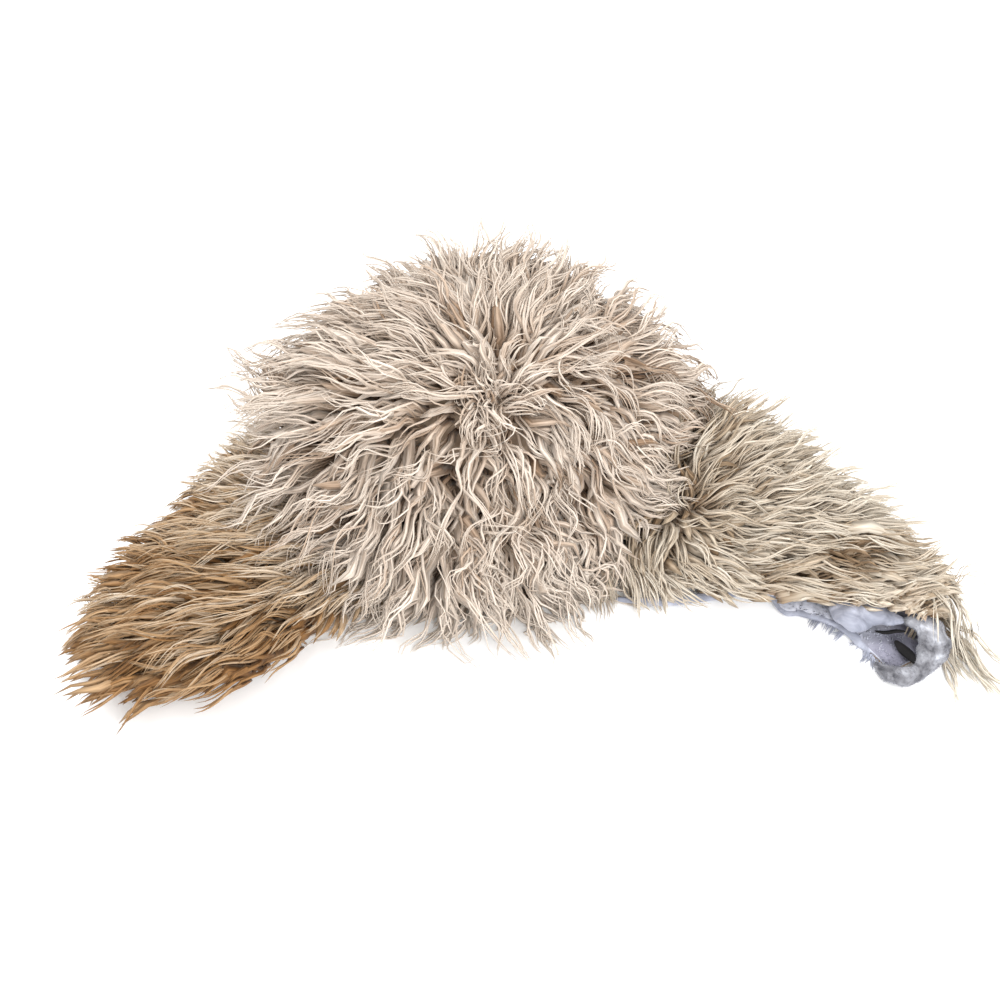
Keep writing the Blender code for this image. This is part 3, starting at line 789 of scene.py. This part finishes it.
def keepOnFlap(flow, roots, normals, place, surface, most):
    # near the front edge the pile is combed along the flap, by adding some of the way that
    # leads back to the shoulder
    i = np.clip((place[:, 0] * (surface["u"].shape[0] - 1)).astype(int), 0, surface["u"].shape[0] - 2)
    j = np.clip((place[:, 1] * (surface["v"].shape[1] - 1)).astype(int), 0, surface["v"].shape[1] - 2)
    back = unit(surface["points"][i, j + 1] - surface["points"][i, j])
    near = most * smooth(1 - place[:, 1] / 0.35)[:, None]
    flow = flow + back * near
    return unit(flow - normals * dot(flow, normals))


def leftTone(roots, normals, place):
    # tan towards the tip and the table, cream near the crown
    return -0.50 * smooth((place[:, 0] + 0.06) / 0.68) + 0.10 * ripple(roots, 45.0, 4)


def leftSizes(roots, normals, place):
    # shorter over the shoulder away from the crown, and a little longer at the tip
    back = 0.48 * smooth((place[:, 1] - 0.3) / 0.3) * smooth((place[:, 0] + 0.1) / 0.3)
    return 1.05 - back + 0.12 * smooth((place[:, 0] - 0.8) / 0.2) + 0.10 * ripple(roots, 40.0, 9)


leftPile = {
    "surface": leftSurface, "open": 1.0 - (leftSurface["v"] > 8 / 9), "material": leftFur,
    "node": "left_flap_fur",
    "seed": 31, "tangle": 0, "parting": (-71, -40), "drop": 0.5, "swirl": 14, "turned": leftTurned,
    "length": 50, "lean": (30, 84), "weight": 0.40, "stray": 9,
    "wave": 38, "swing": 1.6, "bob": 1.2, "curl": evenly, "sizes": leftSizes,
    "tone": 0.82, "toneTuft": 0.09, "toneLock": 0.10, "toned": leftTone,
}
# the tip's front is short smooth pile, so few long locks grow there
leftOpen = 1 - 0.75 * smooth((leftSurface["u"] - 0.72) / 0.12) * smooth((0.5 - leftSurface["v"]) / 0.2)
leftBacking = makeWall("leftFlapBacking", leftSurface, 3, 0.0, layers["backing"], leftGround)
leftPieces = [
    growPile("leftFlapWisps", leftPile, "wisps", 270, 111, leftOpen),
    growPile("leftFlapPile", leftPile, "pile", 370, 112, leftOpen),
    growPile("leftFlapUndercoat", leftPile, "undercoat", 400, 113),
]
leftLining = makeWall("leftFlapLining", leftSurface, 3, layers["liningOutside"], layers["liningInside"],
                      plushCloth, bulge=0.4, seed=7)
print("left flap done")


def rightTurned(flow, roots, normals, place):
    # the pile fans out from the whorl by the crown, and none of it lies back over the crown
    return keepOnFlap(flow + np.array([0.7, 0, 0]), roots, normals, place, rightSurface, 0.45)


def rightTone(roots, normals, place):
    # painted shade: brown in the valley beside the crown and in the pits over the rolled front, where
    # shade falls
    valleyShade = smooth(1 - place[:, 0] / 0.26) * smooth((place[:, 1] - 0.1) / 0.2)
    pitShade = np.exp(-((roots[:, 0] - 170) / 32) ** 2 - ((roots[:, 1] + 66) / 14) ** 2)
    tone = 0.14 * smooth((place[:, 0] - 0.12) / 0.4) + 0.10 * ripple(roots, 45.0, 6)
    return tone - 0.50 * valleyShade - 0.62 * pitShade - 0.12 * smooth((place[:, 0] - 0.7) / 0.2)


def rightSizes(roots, normals, place):
    # shorter beside the crown, along the front edge, over the shoulder and towards the tip
    front = 0.45 * smooth(1 - place[:, 1] / 0.25) * smooth((place[:, 0] - 0.30) / 0.3)
    back = 0.58 * smooth((place[:, 1] - 0.3) / 0.25) * smooth((place[:, 0] - 0.15) / 0.3)
    root = 0.50 * smooth(1 - place[:, 1] / 0.4) * smooth(1 - place[:, 0] / 0.4)
    tip = 0.36 * smooth((place[:, 0] - 0.75) / 0.25)
    return 1.02 - root - front - back - tip + 0.10 * ripple(roots, 40.0, 10)


belowOpen = 0.01  # share of the pile that grows on the lower layer, from the fold on
rightPile = {
    "surface": rightSurface, "open": 1.0 - (1 - belowOpen) * (rightSurface["v"] > 8.4 / 11),
    "material": rightFur, "node": "right_flap_fur",
    "seed": 41, "tangle": 0, "parting": (98, -24), "drop": 0.15, "swirl": 16, "turned": rightTurned,
    "length": 50, "lean": (30, 82), "weight": 0.35, "stray": 9,
    "wave": 32, "swing": 1.9, "bob": 1.4, "curl": evenly, "sizes": rightSizes,
    "tone": 0.52, "toneTuft": 0.09, "toneLock": 0.11, "toned": rightTone,
}
rightOpen = 1 + 2.2 * smooth((rightSurface["u"] - 0.80) / 0.12)
rightBacking = makeWall("rightFlapBacking", rightSurface, 3, 0.0, layers["backing"], crownGround)
rightPieces = [
    growPile("rightFlapWisps", rightPile, "wisps", 270, 121),
    growPile("rightFlapPile", rightPile, "pile", 390, 122, rightOpen),
    growPile("rightFlapUndercoat", rightPile, "undercoat", 440, 123, rightOpen),
]


def towardsFront(flow, roots, normals, place):  # straight out over the table, a little as combed
    return flow * 0.2 + np.array([0.10, -0.99, 0])


def pastEdge(flow, roots, normals, place):  # slanting out past the lower layer's edge
    return np.array([-0.72, -0.69, 0]) + 0 * flow


# thin pale wisps that lie on the table past the tip, and short grey hairs that show under the
# lower layer's front edge. Both densities are over the pile's own, so that they come out as
# they are here
tipOpen = 1.0 * (rightSurface["u"] > 0.90) * (rightSurface["v"] > 0.42) * (rightSurface["v"] < 0.76)
hairOpen = 1.0 * (rightSurface["u"] > 0.62) * (rightSurface["v"] > 0.93)
tipPile = dict(rightPile, turned=towardsFront, length=60, lean=(70, 94), stray=15, tone=0.92,
               sizes=evenly)
hairPile = dict(rightPile, turned=pastEdge, length=13, lean=(75, 92), swing=1.0, bob=0.4,
                material=smoothPlush, sizes=evenly, toned=lambda roots, normals, place: 0)
rightPieces += [
    growPile("rightFlapTipWisps", tipPile, "wisps", 26, 124,
             tipOpen / np.maximum(rightPile["open"], belowOpen)),
    growPile("rightFlapEdgeHairs", hairPile, "hairs", 56, 125, hairOpen / belowOpen),
]
rightLining = makeWall("rightFlapLining", rightSurface, 3, layers["liningOutside"],
                       layers["liningInside"], rollPlush, bulge=0.5, seed=9)
rollNapFacts = {"seed": 51, "count": 2400, "width": 0.7, "length": 1.8}
rightNap = makeNap("rightFlapNap", rightSurface, layers["liningInside"], rollNapFacts,
                   1.0 * (rightSurface["v"] > 0.6) + 0.1, rollPlush)
# the lining's loose folds: the lip over the front, the turned-out end and the hem at the rim
lip = {"x": (180, 185, 192, 201, 210, 218), "y": (-85, -92, -97, -97, -101, -104),
       "z": (10, 12, 13, 15, 17, 18), "radius": (4, 8, 9.5, 8, 5, 3), "flat": 0.6, "fill": 0.4}
cuff = {"x": (200, 206, 215, 224, 232, 233, 227, 217),
        "y": (-123, -131, -134, -131, -121, -112, -105, -104),
        "z": (4, 5, 6, 7, 11, 15, 18, 18),
        "radius": (3, 4.8, 5.8, 4.6, 9, 9, 6.5, 4), "flat": 0.75, "fill": 0.5}
# painted shadow: a near-black roll that stands for the shade in the mouth of the roll, seen between the
# lower layer and the turned-out end
mouthShadow = {"x": (213, 216.5, 220.5, 223), "y": (-111, -116, -122, -127), "z": (8.6, 8.4, 8.2, 7.8),
         "radius": (1.5, 3.0, 3.0, 1.5), "flat": 0.6, "fill": 0.1}
# painted shadow: a thin near-black roll that stands for the shade in the crease under the lip
creaseShadow = {"x": (202, 208, 214, 219), "y": (-105, -107, -107, -108), "z": (10, 11, 12.5, 13.5),
          "radius": (0.6, 1.3, 1.3, 0.6), "flat": 0.6, "fill": 0.1}
makeRoll("rightFlapMouthShadow", mouthShadow, paintedShadowPlush, 64, "right_flap_lining")
makeRoll("rightFlapCreaseShadow", creaseShadow, paintedShadowPlush, 66, "right_flap_lining")
rimHem = {"x": (52, 79, 103, 125, 144), "y": (-77, -79, -76, -72, -76), "z": (3, 3, 3, 3.5, 4),
          "radius": (2.0, 2.8, 3.2, 3.2, 2.4), "flat": 0.8, "fill": 0.4}
makeRoll("rightFlapRimHem", rimHem, smoothPlush, 65, "right_flap_lining")
cuffNapFacts = {"seed": 53, "count": 1400, "width": 0.45, "length": 1.2}
lipNapFacts = {"seed": 54, "count": 700, "width": 0.4, "length": 0.7}
lipSurface = makeRoll("rightFlapLip", lip, smoothPlush, 61, "right_flap_lining")
cuffSurface = makeRoll("rightFlapCuff", cuff, plushCloth, 62, "right_flap_lining")
edge = rightSurface["points"][38:126:8, -1]
hem = {"x": edge[:, 0], "y": edge[:, 1], "z": edge[:, 2] + 2,
       "radius": np.linspace(1.6, 3.0, len(edge)), "flat": 0.9, "fill": 0.4}
makeRoll("rightFlapHem", hem, smoothPlush, 63, "right_flap_lining")
lipNap = makeNap("rightFlapLipNap", lipSurface, 0.0, lipNapFacts,
                 1.0 + 0 * lipSurface["u"], smoothPlush)
cuffNap = makeNap("rightFlapCuffNap", cuffSurface, 0.0, cuffNapFacts,
                  1.0 + 0 * cuffSurface["u"], plushCloth)
print("right flap done")

# the imported cloths, hidden
asSheet("crown_fur")
asSheet("crown_lining")
asSheet("left_flap_fur")
asSheet("left_flap_lining")
asSheet("right_flap_fur")
asSheet("right_flap_lining")


board = {"half": 6000, "drop": 0.3, "colour": "#F7F7F7"}  # it lies a hair under the hat


def makeFloor():
    # one square, matt and nearly white, so that it leaves only a soft shadow
    corner = np.array([[-1, -1, 0], [1, -1, 0], [1, 1, 0], [-1, 1, 0]]) * board["half"]
    data = bpy.data.meshes.new("floor")
    data.from_pydata((corner - np.array([0, 0, board["drop"]])) * mm, [], [(0, 1, 2, 3)])
    m = newMaterial("matt white board", board["colour"])
    paint = addNode(m, "ShaderNodeBsdfPrincipled",
                    {"Base Color": linear(board["colour"]), "Roughness": 0.9})
    addNode(m, "ShaderNodeOutputMaterial", links={0: (paint, 0)})
    data.materials.append(m)
    floor = bpy.data.objects.new("floor", data)
    bpy.context.scene.collection.objects.link(floor)


lights = {  # place and size in millimetres, and power in watts
    "key": ((-500, 500, 1300), 800, 19),
    "fill": ((500, -900, 800), 1100, 17),
}


def makeLights():
    # a big soft lamp over the back, one before the front, both turned to the hat, and white all
    # round
    for name, (place, size, power) in lights.items():
        data = bpy.data.lights.new(name, "AREA")
        data.energy, data.size = power, size * mm
        lamp = bpy.data.objects.new(name, data)
        lamp.location = Vector(place) * mm
        lamp.rotation_mode = "QUATERNION"
        lamp.rotation_quaternion = (-lamp.location).to_track_quat("-Z", "Y")
        bpy.context.scene.collection.objects.link(lamp)
    world = bpy.data.worlds.new("studio")
    world.use_nodes = True
    world.node_tree.nodes["Background"].inputs[0].default_value = linear("#FFFFFF")
    world.node_tree.nodes["Background"].inputs[1].default_value = 1.0
    bpy.context.scene.world = world


makeFloor()
makeLights()
bpy.context.scene.view_settings.view_transform = "Standard"  # keeps the white surface white
print("scene done")
